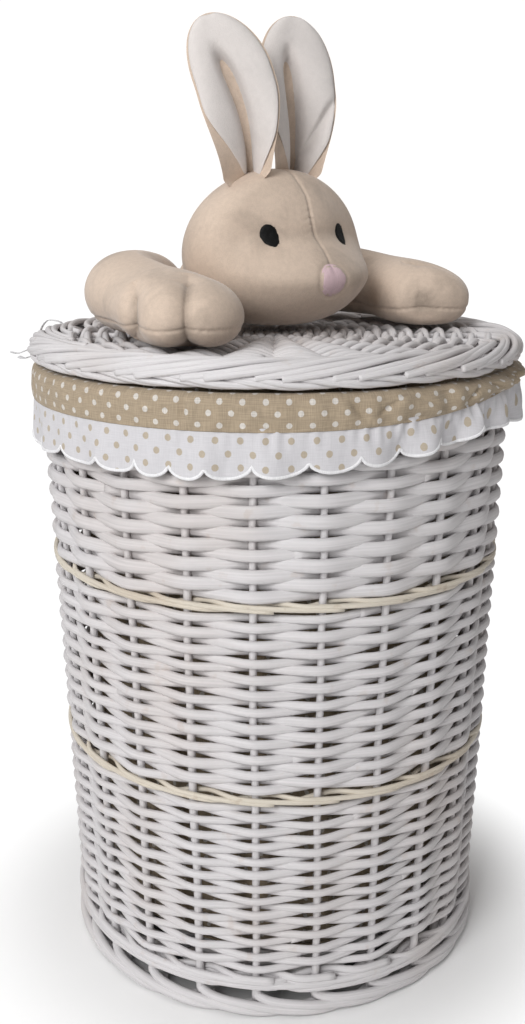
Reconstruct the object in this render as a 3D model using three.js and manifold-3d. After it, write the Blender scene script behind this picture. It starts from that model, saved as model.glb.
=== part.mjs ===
// A round willow laundry basket with a fabric liner and a lid that carries a plush rabbit.
// Millimetres, +Z up. The origin is on the floor under the basket's centre; the rabbit looks along -Y
// and the lid hinges on its ribbon ties at +Y. Left and right are the rabbit's own.
import * as THREE from 'three';
import { mergeVertices } from 'three/addons/utils/BufferGeometryUtils.js';
import Module from 'manifold-3d';

const wasm = await Module();
wasm.setup();

// Driving dimensions of the basket.
const STAKES = 23; // an odd count, so that one continuous weaver alternates on every turn
const FIRST_STAKE = THREE.MathUtils.degToRad(224);
const STAKE_R = 2.8;
const WALL_R_FLOOR = 181; // outer radius of the weave, extrapolated to the floor
const WALL_R_TOP = 196.5; // outer radius of the weave at WALL_TOP
const WALL_TOP = 500;
const WALL_T = 18;
const GAP = 0.3;

// Heights of the courses, from the floor up.
const FOOT_H = 19;
const UPSET_TOP = 38;
const LOWER_BAND = [188, 198];
const UPPER_BAND = [344, 354];
const WEAVE_TOP = 488;
const BAND_PROUD = 1.5;
const BASE_Z = [23, 36];

// Fabric liner.
const LINER_T = 1.5;
const CUFF_R = 200.5;
const CUFF_LOW = 479;
const CUFF_TOP = 508;
const RUFFLE_R = 202;
const RUFFLE_LOW = 446;

// Lid.
const LID_R = 202.5;
const LID_Z = [508.4, 530];
const LID_BORDER_W = 24;
const LID_WEAVE_Z = [514, 528];
const LID_STICKS = 12; // sticks that cross the whole lid, so twice as many ribs
const BASE_STICKS = 6;
const STICK_W = 6;

// Plush rabbit.
const HEAD_C = new THREE.Vector3(2, 1, 593.5);
const HEAD_R = new THREE.Vector3(84, 78, 65);
const FACE_WEDGE = 0.36; // how much the face narrows and slopes back above the muzzle
const EAR_BASE = { x: 23, y: 10, z: 658 };
const EAR_T = 9; // half the thickness of a stuffed ear
const EAR_BOW = 8; // how far the middle of an ear bows forwards
const EAR_INSET = 0.76; // how much of the ear's front the pale lining covers, each way
const LINING_T = 1.5;
const ARM_SHIFT = 5; // the arms are sewn on a little to the rabbit's left

const SEGMENTS = 2 * STAKES;

const paint = {
  willow: ['#d9d6d8', 0.7],
  cream: ['#e2d8c8', 0.7],
  beige: ['#b9a88e', 0.9],
  white: ['#e4e4e8', 0.9],
  plush: ['#c8b6a3', 0.95],
  lining: ['#e1dcda', 0.95],
  pink: ['#d6bcc4', 0.8],
  black: ['#15140f', 0.6],
};

const basket = new THREE.Group();

function addPiece(name, geometry, colour) {
  const [color, roughness] = paint[colour];
  const mesh = new THREE.Mesh(geometry, new THREE.MeshStandardMaterial({ color, roughness, metalness: 0 }));
  mesh.name = name;
  basket.add(mesh);
}

// A closed geometry as a manifold solid, and a manifold solid as a geometry.
function solidOf(geometry) {
  const bare = geometry.clone();
  bare.deleteAttribute('normal');
  bare.deleteAttribute('uv');
  const merged = mergeVertices(bare, 1e-4);
  const index = merged.index.array;
  const kept = [];
  for (let i = 0; i < index.length; i += 3) {
    const [a, b, c] = [index[i], index[i + 1], index[i + 2]];
    if (a !== b && b !== c && c !== a) kept.push(a, b, c);
  }
  const vertProperties = new Float32Array(merged.attributes.position.array);
  return new wasm.Manifold(new wasm.Mesh({ numProp: 3, vertProperties, triVerts: new Uint32Array(kept) }));
}

function geometryOf(solid) {
  const mesh = solid.getMesh();
  const geometry = new THREE.BufferGeometry();
  geometry.setAttribute('position', new THREE.BufferAttribute(mesh.vertProperties, 3));
  geometry.setIndex(new THREE.BufferAttribute(mesh.triVerts, 1));
  return geometry;
}

const wallRadius = (z) => WALL_R_FLOOR + ((WALL_R_TOP - WALL_R_FLOOR) * z) / WALL_TOP;
const polar = (radius, angle, z) => new THREE.Vector3(radius * Math.cos(angle), radius * Math.sin(angle), z);

// A body of revolution about Z from [radius, z] points that go round the section.
function turned(points, segments = SEGMENTS) {
  const outline = points.map(([r, z]) => new THREE.Vector2(r, z));
  return new THREE.LatheGeometry(outline, segments).rotateX(Math.PI / 2);
}

function ring(inner, outer, low, high) {
  return turned([[inner(low), low], [outer(low), low], [outer(high), high], [inner(high), high], [inner(low), low]]);
}

// A tapering six-sided rod between two points.
function rod(from, to, radius, sides = 6) {
  const along = to.clone().sub(from);
  const geometry = new THREE.CylinderGeometry(radius, radius, along.length(), sides);
  const turn = new THREE.Quaternion().setFromUnitVectors(new THREE.Vector3(0, 1, 0), along.normalize());
  return geometry.applyQuaternion(turn).translate(...from.clone().add(to).multiplyScalar(0.5).toArray());
}

const stakeAngle = (i) => FIRST_STAKE + (2 * Math.PI * i) / STAKES;
const stakeRadius = (z) => wallRadius(z) - WALL_T / 2;

function stakeRod(i, low, high, radius, sides) {
  const [foot, head] = [low, high].map((z) => polar(stakeRadius(z), stakeAngle(i), z));
  return rod(foot, head, radius, sides);
}

// A square channel round each stake, with clearance on every side.
const CHANNEL_R = (STAKE_R + GAP) * Math.SQRT2;
const channels = wasm.Manifold.compose(
  Array.from({ length: STAKES }, (_, i) => solidOf(stakeRod(i, -40, WALL_TOP + 40, CHANNEL_R, 4))),
);

// A course of weave: a ring with a channel for every stake.
function course(name, low, high, proud = 0, colour = 'willow') {
  const body = ring((z) => wallRadius(z) - WALL_T, (z) => wallRadius(z) + proud, low, high);
  addPiece(name, geometryOf(solidOf(body).subtract(channels)), colour);
}

function makeBasket() {
  for (let i = 0; i < STAKES; i += 1) {
    const number = String(i + 1).padStart(2, '0');
    addPiece(`stake_${number}`, stakeRod(i, 3, WALL_TOP - 3, STAKE_R), 'willow');
  }
  course('foot_border', 0, FOOT_H, 0.5);
  course('upset_wale', FOOT_H + GAP, UPSET_TOP, 1);
  course('woven_wall_lower', UPSET_TOP + GAP, LOWER_BAND[0]);
  course('wale_band_lower', LOWER_BAND[0] + GAP, LOWER_BAND[1], BAND_PROUD, 'cream');
  course('woven_wall_middle', LOWER_BAND[1] + GAP, UPPER_BAND[0]);
  course('wale_band_upper', UPPER_BAND[0] + GAP, UPPER_BAND[1], BAND_PROUD, 'cream');
  course('woven_wall_upper', UPPER_BAND[1] + GAP, WEAVE_TOP);
  course('rim_border', WEAVE_TOP + GAP, WALL_TOP);
}

// A woven disc with crossing sticks run through it, each stick reaching the disc's edge.
function wovenDisc(sticksName, weaveName, radius, [low, high], count) {
  const middle = (low + high) / 2;
  const star = (reach, width) => {
    let joined = null;
    for (let i = 0; i < count; i += 1) {
      const bar = new THREE.BoxGeometry(2 * reach, width, width);
      const stick = solidOf(bar.rotateZ((Math.PI * i) / count).translate(0, 0, middle));
      joined = joined ? joined.add(stick) : stick;
    }
    return joined;
  };
  const disc = turned([[0, low], [radius, low], [radius, high], [0, high]]);
  addPiece(sticksName, geometryOf(star(radius - 1, STICK_W)), 'willow');
  addPiece(weaveName, geometryOf(solidOf(disc).subtract(star(radius + 5, STICK_W + 2 * GAP))), 'willow');
}

function makeLiner() {
  const innerWall = (z) => wallRadius(z) - WALL_T - GAP;
  const floor = BASE_Z[1] + GAP;
  addPiece('liner_bag', turned([
    [0, floor], [innerWall(floor), floor], [innerWall(CUFF_TOP), CUFF_TOP],
    [innerWall(CUFF_TOP) - LINER_T, CUFF_TOP], [innerWall(floor) - LINER_T, floor + LINER_T], [0, floor + LINER_T],
  ]), 'beige');
  const fold = WALL_TOP + GAP;
  const hem = wallRadius(CUFF_LOW) + GAP;
  addPiece('liner_cuff', turned([
    [innerWall(CUFF_TOP) + GAP, fold], [WALL_R_TOP + GAP, fold], [WALL_R_TOP + GAP, CUFF_LOW],
    [CUFF_R, CUFF_LOW], [CUFF_R, CUFF_TOP - 3], [CUFF_R - 4, CUFF_TOP], [innerWall(CUFF_TOP) + GAP, CUFF_TOP],
    [innerWall(CUFF_TOP) + GAP, fold],
  ]), 'beige');
  const low = CUFF_LOW - 8;
  addPiece('cuff_elastic', ring(() => hem + 0.2, () => hem + 1.6, low + GAP, CUFF_LOW - GAP), 'white');
  addPiece('ruffle', turned([
    [hem + 2, CUFF_LOW - GAP], [hem + 2, low], [wallRadius(low) + GAP, low - 4],
    [wallRadius(low) + GAP, RUFFLE_LOW], [RUFFLE_R, RUFFLE_LOW], [CUFF_R, CUFF_LOW - GAP],
    [hem + 2, CUFF_LOW - GAP],
  ]), 'white');
}

function makeLid() {
  const inner = LID_R - LID_BORDER_W;
  const [low, high] = LID_Z;
  addPiece('lid_border', turned([
    [inner, low + 3], [inner + 3, low], [LID_R - 5, low], [LID_R, low + 6], [LID_R, high - 7], [LID_R - 6, high],
    [inner + 6, high], [inner, high - 3], [inner, low + 3],
  ]), 'willow');
  wovenDisc('lid_sticks', 'lid_weave', inner - GAP, LID_WEAVE_Z, LID_STICKS);
}

// Ribbon that ties the lid down: a knot outside the rim and one pair of loose tails.
function makeTie(side, angle) {
  const knot = new THREE.SphereGeometry(6.5, 8, 6).scale(1, 1, 0.8);
  addPiece(`tie_knot_${side}`, knot.translate(...polar(RUFFLE_R + 7.5, angle, 505).toArray()), 'white');
  const tails = new THREE.BoxGeometry(22, 14, 1.5).rotateY(0.2).rotateZ(angle);
  addPiece(`tie_tails_${side}`, tails.translate(...polar(RUFFLE_R + 27, angle, 501).toArray()), 'white');
}

// A ball pushed into shape: move is handed each unit-sphere point and returns where it goes.
function shaped(move, around = 16, down = 11) {
  const geometry = new THREE.SphereGeometry(1, around, down).rotateX(Math.PI / 2);
  const position = geometry.attributes.position;
  const point = new THREE.Vector3();
  for (let i = 0; i < position.count; i += 1) {
    point.fromBufferAttribute(position, i);
    const moved = move(point);
    position.setXYZ(i, moved.x, moved.y, moved.z);
  }
  return geometry;
}

// The head: a wide ball with full cheeks, whose face narrows and slopes back above the muzzle.
function headSurface(grow) {
  return (p) => {
    const front = Math.max(0, -p.y);
    const slope = FACE_WEDGE * THREE.MathUtils.smoothstep(p.z, -0.35, 0.3);
    const brow = 1 - slope * THREE.MathUtils.smoothstep(front, 0, 0.6);
    const x = (HEAD_R.x + grow) * p.x * (1 - slope * front ** 2);
    const y = (HEAD_R.y + grow) * p.y * (p.y < 0 ? brow : 0.88);
    const z = (HEAD_R.z + grow) * (p.z - 0.06 * (1 - p.z * p.z));
    return new THREE.Vector3(x, y, z).add(HEAD_C);
  };
}

const head = (grow) => shaped(headSurface(grow), 22, 16);

const torso = (grow) => shaped((p) => new THREE.Vector3(
  (36 + grow) * p.x, 84 + (28 + grow) * p.y, 562 + (31 + grow) * p.z,
), 14, 9);

// A thin patch that follows the head's front, cut to an oval about a line along Y.
function facePatch(name, centreX, centreZ, halfX, halfZ, thick, colour) {
  const oval = new THREE.CylinderGeometry(1, 1, 90, 16).scale(halfX, 1, halfZ).translate(centreX, -60, centreZ);
  const outer = solidOf(head(GAP + thick));
  const inner = solidOf(head(GAP));
  addPiece(name, geometryOf(solidOf(oval).intersect(outer.subtract(inner))), colour);
}

// How full a stuffed piece is at distance d from an end that is rounded to radius r.
const endFill = (d, r) => Math.sqrt(1 - (1 - Math.min(d / r, 1)) ** 2);

// A stuffed tube with round ends that runs through way points, with a half width and half height at each.
function stuffed(stations, around = 12) {
  const path = new THREE.CatmullRomCurve3(stations.map(({ at }) => new THREE.Vector3(...at)));
  const girth = new THREE.SplineCurve(stations.map(({ wide, tall }) => new THREE.Vector2(wide, tall)));
  const length = path.getLength();
  return shaped((p) => {
    const t = (1 - p.z) / 2;
    const ahead = path.getTangent(t);
    const across = new THREE.Vector3(ahead.y, -ahead.x, 0).normalize();
    const round = Math.hypot(p.x, p.y);
    const { x: wide, y: tall } = girth.getPoint(t);
    const fill = endFill(Math.min(t, 1 - t) * length, tall);
    const at = path.getPoint(t);
    if (round < 1e-6) return at;
    at.addScaledVector(across, (fill * wide * p.x) / round);
    at.z += (fill * tall * p.y) / round;
    return at;
  }, around, 15);
}

function makeArm(side, sign) {
  const station = (x, y, z, wide, tall) => ({ at: [sign * x + ARM_SHIFT, y, z], wide, tall });
  const stations = [
    station(44, 78, 560, 22, 26),
    station(84, 78, 563, 32, 31),
    station(119, 50, 562, 35, 32),
    station(127, 8, 558, 36, 30),
    station(121, -36, 552, 39, 26),
    station(116, -79, 549, 36, 21),
  ];
  const arm = solidOf(stuffed(stations)).subtract(solidOf(head(1))).subtract(solidOf(torso(1)));
  const floor = new THREE.BoxGeometry(500, 500, 60).translate(0, 0, LID_Z[1] + GAP - 30);
  addPiece(`arm_${side}`, geometryOf(arm.subtract(solidOf(floor))), 'plush');
}

// A stuffed leaf-shaped ear that bows forwards, and the pale lining sewn on its front.
// Its face is turned by yaw degrees from -Y towards -X, and its middle leans sideways by sway.
function makeEar(side, { sign, tip, yaw, halfWidth, sway }) {
  const base = new THREE.Vector3(sign * EAR_BASE.x, EAR_BASE.y, EAR_BASE.z);
  const reach = tip.clone().sub(base);
  const up = reach.clone().normalize();
  const flat = polar(1, THREE.MathUtils.degToRad(-yaw), 0);
  const across = flat.addScaledVector(up, -flat.dot(up)).normalize();
  const back = new THREE.Vector3().crossVectors(up, across);
  const surface = (grow) => (p) => {
    const t = (1 + p.z) / 2;
    const round = Math.max(Math.hypot(p.x, p.y), 1e-6);
    const leaf = THREE.MathUtils.smoothstep(t, -0.15, 0.6) * endFill(t, 0.08) * endFill(1 - t, 0.35);
    const at = base.clone().addScaledVector(reach, t);
    const half = halfWidth * leaf + Math.min(grow, grow * leaf);
    at.addScaledVector(across, (half * p.x) / round + sway * Math.sin(Math.PI * t));
    at.addScaledVector(back, (EAR_T + grow) * p.y - EAR_BOW * Math.sin(Math.PI * t));
    return at.addScaledVector(up, grow * p.z);
  };
  const lens = (p) => {
    const q = new THREE.Vector3(EAR_INSET * p.x, 0, EAR_INSET * p.z);
    q.y = -Math.sqrt(1 - q.lengthSq());
    return surface(2 * GAP + LINING_T * Math.sqrt(Math.max(0, -p.y)))(q);
  };
  addPiece(`ear_${side}`, shaped(surface(0)), 'plush');
  addPiece(`ear_lining_${side}`, shaped(lens), 'lining');
}

function makeRabbit() {
  addPiece('rabbit_head', head(0), 'plush');
  addPiece('rabbit_torso', geometryOf(solidOf(torso(0)).subtract(solidOf(head(1)))), 'plush');
  makeArm('right', -1);
  makeArm('left', 1);
  makeEar('right', { sign: -1, tip: new THREE.Vector3(-55, 15, 769), yaw: 35, halfWidth: 31, sway: 9 });
  makeEar('left', { sign: 1, tip: new THREE.Vector3(28, 12, 774), yaw: 20, halfWidth: 33, sway: 1 });
  facePatch('eye_right', -37, 606, 6.5, 8, 1, 'black');
  facePatch('eye_left', 37, 606, 6.5, 8, 1, 'black');
  facePatch('nose', 0, 572, 13, 12, 1.5, 'pink');
}

makeBasket();
wovenDisc('base_sticks', 'base_weave', wallRadius(BASE_Z[0]) - WALL_T - GAP, BASE_Z, BASE_STICKS);
makeLiner();
makeLid();
makeTie('right', THREE.MathUtils.degToRad(125));
makeTie('left', THREE.MathUtils.degToRad(55));
makeRabbit();

export default basket;
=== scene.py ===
"""A round willow laundry basket with a dotted cotton liner and a plush rabbit on its lid.

Laid out as an add-on: settings, one operator for each group of pieces, a panel that lists them, and main().
"""

import math

import bmesh
import bpy
import numpy as np
from bpy.props import FloatProperty, FloatVectorProperty, IntProperty, PointerProperty
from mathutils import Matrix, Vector


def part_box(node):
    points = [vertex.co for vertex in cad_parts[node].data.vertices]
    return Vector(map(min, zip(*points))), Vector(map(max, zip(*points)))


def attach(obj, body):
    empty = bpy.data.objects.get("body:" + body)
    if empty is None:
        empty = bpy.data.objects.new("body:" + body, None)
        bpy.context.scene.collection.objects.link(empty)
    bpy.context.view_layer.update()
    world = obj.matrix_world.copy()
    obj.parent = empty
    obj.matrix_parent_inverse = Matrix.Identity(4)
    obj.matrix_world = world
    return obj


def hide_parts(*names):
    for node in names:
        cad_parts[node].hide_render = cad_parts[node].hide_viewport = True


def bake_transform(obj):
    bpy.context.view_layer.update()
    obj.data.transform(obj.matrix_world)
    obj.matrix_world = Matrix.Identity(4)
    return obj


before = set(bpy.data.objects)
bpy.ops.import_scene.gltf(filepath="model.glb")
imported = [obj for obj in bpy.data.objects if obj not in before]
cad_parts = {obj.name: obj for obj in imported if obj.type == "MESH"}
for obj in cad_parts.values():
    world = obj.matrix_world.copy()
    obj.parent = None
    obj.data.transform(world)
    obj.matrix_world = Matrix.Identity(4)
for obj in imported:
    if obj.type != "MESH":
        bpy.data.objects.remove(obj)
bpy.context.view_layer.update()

bl_info = {
    "name": "Willow Laundry Basket",
    "version": (1, 0, 0),
    "blender": (4, 5, 0),
    "location": "View3D > Sidebar > Basket",
    "description": "Weaves a round willow laundry basket with its liner, lid and plush rabbit",
    "category": "Add Mesh",
}

MM = 0.001
TAU = 2 * math.pi
UP = np.array([0.0, 0.0, 1.0])


# ---------------------------------------------------------------- places taken from the frame


def span(node, axis=2):
    """The lowest and highest coordinate of a CAD node along an axis."""
    low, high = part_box(node)
    return low[axis], high[axis]


def radius_of(node):
    """The outer radius of a round CAD node about Z."""
    return span(node, 1)[1]


STAKES = sum(node.startswith("stake_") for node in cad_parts)
STAKE_LOW, STAKE_HIGH = span("stake_01")


def vertices_of(mesh):
    """A mesh's vertices as an array."""
    points = np.empty(len(mesh.vertices) * 3)
    mesh.vertices.foreach_get("co", points)
    return points.reshape(-1, 3)


def stake_ends():
    """Centre of the first stake's foot and head, from the middle of its lowest and highest vertices."""
    points = vertices_of(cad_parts["stake_01"].data)
    middle = points[:, 2].mean()
    return points[points[:, 2] < middle].mean(axis=0), points[points[:, 2] > middle].mean(axis=0)


FOOT_POINT, HEAD_POINT = stake_ends()
FIRST_STAKE = math.atan2(FOOT_POINT[1], FOOT_POINT[0])


def stake_radius(z):
    """Distance of the stakes' centre line from Z: a straight line from foot to head."""
    foot, head = np.hypot(*FOOT_POINT[:2]), np.hypot(*HEAD_POINT[:2])
    return foot + (head - foot) * (z - FOOT_POINT[2]) / (HEAD_POINT[2] - FOOT_POINT[2])


def stake_angle(s):
    """Angle about Z of stake number s, where s may be a fraction between two stakes."""
    return FIRST_STAKE + TAU * s / STAKES


# ---------------------------------------------------------------- settings


def length_setting(name, description, default):
    return FloatProperty(name=name, description=description, default=default, unit="LENGTH")


def count_setting(name, description, default):
    return IntProperty(name=name, description=description, default=default)


def colour_setting(name, description, default):
    return FloatVectorProperty(name=name, description=description, default=default, subtype="COLOR", size=3)


class BasketSizes(bpy.types.PropertyGroup):
    """Sizes that a weaver would choose."""

    stake_radius: length_setting("Stake radius", "Half the thickness of an upright stake", 3.1 * MM)
    rod_radius: length_setting("Weaver depth", "Half the depth of a weaver, in and out of the wall", 2.8 * MM)
    upper_rows: count_setting("Upper rows", "Rows of weave above the upper wale band", 17)
    middle_rows: count_setting("Middle rows", "Rows of weave between the wale bands", 22)
    lower_rows: count_setting("Lower rows", "Rows of weave below the lower wale band", 24)


class BasketColours(bpy.types.PropertyGroup):
    """Colours of the finishes."""

    paint: colour_setting("Paint", "Matt white paint on the willow", (0.72, 0.70, 0.71))
    plush: colour_setting("Plush", "Beige velvet pile of the rabbit", (0.63, 0.51, 0.415))
    lining: colour_setting("Lining", "Pale velvet pile inside the ears", (0.68, 0.64, 0.62))
    beige: colour_setting("Beige cotton", "Ground of the liner's dotted cotton", (0.46, 0.37, 0.265))
    white: colour_setting("White cotton", "Ground of the ruffle's dotted cotton", (0.66, 0.65, 0.675))
    cream: colour_setting("Cream", "Thinly painted willow of the wale bands", (0.74, 0.68, 0.58))


def stand_in(piece, node_name, body=None):
    """Put a finished piece in a CAD node's place and, when one is named, on a body."""
    if body:
        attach(piece, body)
    if node_name:
        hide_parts(node_name)
    return piece


# ---------------------------------------------------------------- meshes from grids


def unit(v):
    """Vectors scaled to length one along the last axis."""
    return v / np.maximum(np.linalg.norm(v, axis=-1, keepdims=True), 1e-12)


def polar(radius, angle, z):
    """Points at a radius and angle about Z, broadcast together."""
    radius, angle, z = np.broadcast_arrays(radius, angle, z)
    return np.stack([radius * np.cos(angle), radius * np.sin(angle), z], axis=-1)


def radial(points):
    """Unit vectors that point away from Z at each point."""
    flat = points.copy()
    flat[..., 2] = 0
    return unit(flat)


def run_length(points):
    """Distance from the first point of each row of points to every other, measured along the row."""
    steps = np.linalg.norm(np.diff(points, axis=-2), axis=-1)
    return np.concatenate([np.zeros_like(steps[..., :1]), np.cumsum(steps, axis=-1)], axis=-1)


def uv_grid(u, v):
    """Texture places from u and v, broadcast together."""
    return np.stack(np.broadcast_arrays(u, v), axis=-1)


def add_mesh(name, vertices, faces, uv, material):
    """A smooth mesh object at the world origin, with a UV map when uv gives one pair for each face corner."""
    mesh = bpy.data.meshes.new(name)
    mesh.from_pydata(vertices.reshape(-1, 3), [], faces)
    if uv is not None:
        layer = mesh.uv_layers.new(name="UVMap")
        layer.data.foreach_set("uv", np.asarray(uv, dtype=np.float32).reshape(-1))
    mesh.materials.append(material)
    mesh.polygons.foreach_set("use_smooth", np.ones(len(mesh.polygons), dtype=bool))
    mesh.update()
    piece = bpy.data.objects.new(name, mesh)
    bpy.context.scene.collection.objects.link(piece)
    return piece


def grid_faces(rows, columns, wrap):
    """Quads of a rows by columns grid; wrap joins the last column to the first.

    Returns the faces and, for each corner, its row and unwrapped column.
    """
    i, j = np.meshgrid(np.arange(rows - 1), np.arange(columns if wrap else columns - 1), indexing="ij")
    corner_i = np.stack([i, i, i + 1, i + 1], axis=-1).reshape(-1, 4)
    corner_j = np.stack([j, j + 1, j + 1, j], axis=-1).reshape(-1, 4)
    return corner_i * columns + corner_j % columns, corner_i, corner_j


def shell(name, points, thickness, uv, material, wrap=False):
    """A closed sheet: the grid of points is its face, a copy lies thickness behind it, and the rims are joined.

    Columns run to the right and rows upwards on the face.
    """
    rows, columns = points.shape[:2]
    along = np.gradient(points, axis=0)
    across = np.roll(points, -1, 1) - np.roll(points, 1, 1) if wrap else np.gradient(points, axis=1)
    back = points - unit(np.cross(across, along)) * thickness
    faces, i, j = grid_faces(rows, columns, wrap)
    number = np.arange(rows * columns).reshape(rows, columns)
    side_uv = np.stack([i, j], axis=-1)
    below, above = (np.concatenate([number[k], number[k, :1]]) if wrap else number[k] for k in (0, -1))
    lips = [(below[1:], below[:-1]), (above[:-1], above[1:])]
    if not wrap:
        lips += [(number[:-1, 0], number[1:, 0]), (number[1:, -1], number[:-1, -1])]
    rims = [np.stack([a, b, b + rows * columns, a + rows * columns], axis=-1) for a, b in lips]
    faces = np.concatenate([faces, faces[:, ::-1] + rows * columns, *rims])
    front_uv = uv[side_uv[..., 0], side_uv[..., 1]]
    rim_uv = [uv.reshape(-1, 2)[(quad % (rows * columns)) % len(uv.reshape(-1, 2))] for quad in rims]
    corner_uv = np.concatenate([front_uv, front_uv[:, ::-1], *rim_uv])
    return add_mesh(name, np.stack([points, back]), faces, corner_uv, material)


def bump(x, centre, width):
    """A smooth hump of height 1 at centre."""
    return np.exp(-(((x - centre) / width) ** 2))


def step(x, low, high):
    """Smooth step from 0 at low to 1 at high."""
    t = np.clip((x - low) / (high - low), 0, 1)
    return t * t * (3 - 2 * t)


def around_from(angle, centre):
    """Angle measured from centre, between -pi and pi."""
    return np.mod(angle - centre + math.pi, TAU) - math.pi


def swept(name, paths, radii, reference, material, sides=10, squeeze=1.0):
    """Round rods along many paths at once, with flat cut ends.

    paths is rods by steps by 3, radii rods by steps, and reference the direction that the section's first
    axis leans to. Each ring is path + r cos(a) N + squeeze r sin(a) B, where B = T x reference, N = B x T.
    squeeze is one number or one for each step.
    """
    tangent = unit(np.gradient(paths, axis=1))
    side = unit(np.cross(tangent, reference))
    normal = np.cross(side, tangent)
    angle = np.linspace(0, TAU, sides, endpoint=False)
    r = radii[..., None, None]
    flatten = np.broadcast_to(squeeze, radii.shape)[..., None, None]
    ring = normal[:, :, None] * np.cos(angle)[:, None] + side[:, :, None] * np.sin(angle)[:, None] * flatten
    points = paths[:, :, None] + r * ring
    rods, steps = paths.shape[:2]
    quads, i, j = grid_faces(steps, sides, True)
    offset = (np.arange(rods) * steps * sides)[:, None, None]
    faces = (quads[None] + offset).reshape(-1, 4)
    along = run_length(paths)[:, i] + np.arange(rods)[:, None, None] * 0.37
    around = np.broadcast_to(j / sides * 2 * math.pi * radii.mean(), along.shape)
    uv = np.stack([along, around], axis=-1).reshape(-1, 2)
    first = (np.arange(sides)[::-1] + offset.reshape(-1, 1)).tolist()
    last = (np.arange(sides) + (steps - 1) * sides + offset.reshape(-1, 1)).tolist()
    cap_uv = np.zeros((2 * rods * sides, 2))
    return add_mesh(name, points, faces.tolist() + first + last, np.concatenate([uv, cap_uv]), material)


def wander(s, rng, amplitude, scale, shape=()):
    """Smooth noise along s: a sum of three sines with random phases, for each row of shape."""
    phase = rng.uniform(0, TAU, (3, *shape, 1))
    pace = np.array([1.0, 2.3, 4.1]).reshape(3, *([1] * (len(shape) + 1))) / scale
    weight = np.array([0.6, 0.3, 0.15]).reshape(3, *([1] * (len(shape) + 1)))
    return amplitude * (weight * np.sin(s * pace + phase)).sum(axis=0)


# ---------------------------------------------------------------- shader building


def effect_group(name, build, **inputs):
    """The node group of that name, made the first time: inputs are its sockets' defaults.

    build takes the tree and its inputs, and returns the sockets that give Color, Roughness and Height.
    """
    if name in bpy.data.node_groups:
        return bpy.data.node_groups[name]
    group = bpy.data.node_groups.new(name, "ShaderNodeTree")
    for label, default in inputs.items():
        kind = "NodeSocketColor" if isinstance(default, tuple) else "NodeSocketFloat"
        socket = group.interface.new_socket(name=label.replace("_", " "), in_out="INPUT", socket_type=kind)
        socket.default_value = default
    for label, kind in (("Color", "Color"), ("Roughness", "Float"), ("Height", "Float")):
        group.interface.new_socket(name=label, in_out="OUTPUT", socket_type=f"NodeSocket{kind}")
    given = group.nodes.new("NodeGroupInput").outputs
    taken = group.nodes.new("NodeGroupOutput").inputs
    for label, socket in zip(("Color", "Roughness", "Height"), build(group, given)):
        group.links.new(socket, taken[label])
    return group


def node(tree, kind, links=None, **settings):
    """A node with its settings; links maps an input's name or number to a socket or a plain value."""
    made = tree.nodes.new("ShaderNode" + kind)
    for key, value in settings.items():
        setattr(made, key, value)
    for key, value in (links or {}).items():
        fill_input(tree, made.inputs[key], value)
    return made


def fill_input(tree, target, value):
    """Link a socket into an input, or set a plain value on it."""
    if isinstance(value, bpy.types.NodeSocket):
        tree.links.new(value, target)
    else:
        target.default_value = value


def sums(tree, operation, *values, clamp=False):
    """The result socket of a Math node."""
    return node(tree, "Math", dict(enumerate(values)), operation=operation, use_clamp=clamp).outputs[0]


def vectors(tree, operation, *values):
    """The vector that a Vector Math node gives; the last value of SCALE is its factor."""
    keys = (0, "Scale") if operation == "SCALE" else range(len(values))
    return node(tree, "VectorMath", dict(zip(keys, values)), operation=operation).outputs[0]


def distance_of(tree, vector):
    """The length of a vector."""
    return node(tree, "VectorMath", {0: vector}, operation="LENGTH").outputs["Value"]


def noise(tree, place, scale, detail, output="Fac", **links):
    """A noise texture at a place."""
    return node(tree, "TexNoise", {"Vector": place, "Scale": scale, "Detail": detail, **links}).outputs[output]


def stretched(tree, place, u, v):
    """Places along UV, scaled by u and v."""
    return node(tree, "Mapping", {"Vector": place, "Scale": (u, v, 1)}).outputs[0]


def coordinates(tree, kind):
    return node(tree, "TexCoord").outputs[kind]


def blend_colours(tree, factor, a, b, mode="MIX"):
    """The result socket of a colour Mix node."""
    mix = node(tree, "Mix", {"Factor": factor}, data_type="RGBA", blend_type=mode)
    for label, value in (("A", a), ("B", b)):
        fill_input(tree, next(s for s in mix.inputs if s.name == label and s.type == "RGBA"), value)
    return next(s for s in mix.outputs if s.type == "RGBA")


def darkened(tree, base, tone, factor=1.0):
    """A colour multiplied by a grey tone."""
    grey = node(tree, "CombineColor", dict.fromkeys(("Red", "Green", "Blue"), tone)).outputs[0]
    return blend_colours(tree, factor, base, grey, "MULTIPLY")


def ramp(tree, value, low, high):
    """A smooth step from 0 at low to 1 at high."""
    links = {"Value": value, "From Min": low, "From Max": high}
    return node(tree, "MapRange", links, interpolation_type="SMOOTHSTEP").outputs["Result"]


def rgba(colour):
    return (*colour, 1.0)


def finish(name, group, values, constants=None, strength=0.3, distance=0.0006):
    """A Principled material fed by one effect group; constants go on the shader's own sockets."""
    made = bpy.data.materials.get(name)
    if made:
        return made
    made = bpy.data.materials.new(name)
    made.use_nodes = True
    tree = made.node_tree
    shader = tree.nodes["Principled BSDF"]
    for key, value in (constants or {}).items():
        shader.inputs[key].default_value = value
    effect = node(tree, "Group", node_tree=group)
    for key, value in values.items():
        effect.inputs[key].default_value = value
    tree.links.new(effect.outputs["Color"], shader.inputs["Base Color"])
    tree.links.new(effect.outputs["Roughness"], shader.inputs["Roughness"])
    height = {"Height": effect.outputs["Height"], "Strength": strength, "Distance": distance}
    tree.links.new(node(tree, "Bump", height).outputs[0], shader.inputs["Normal"])
    return made


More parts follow.
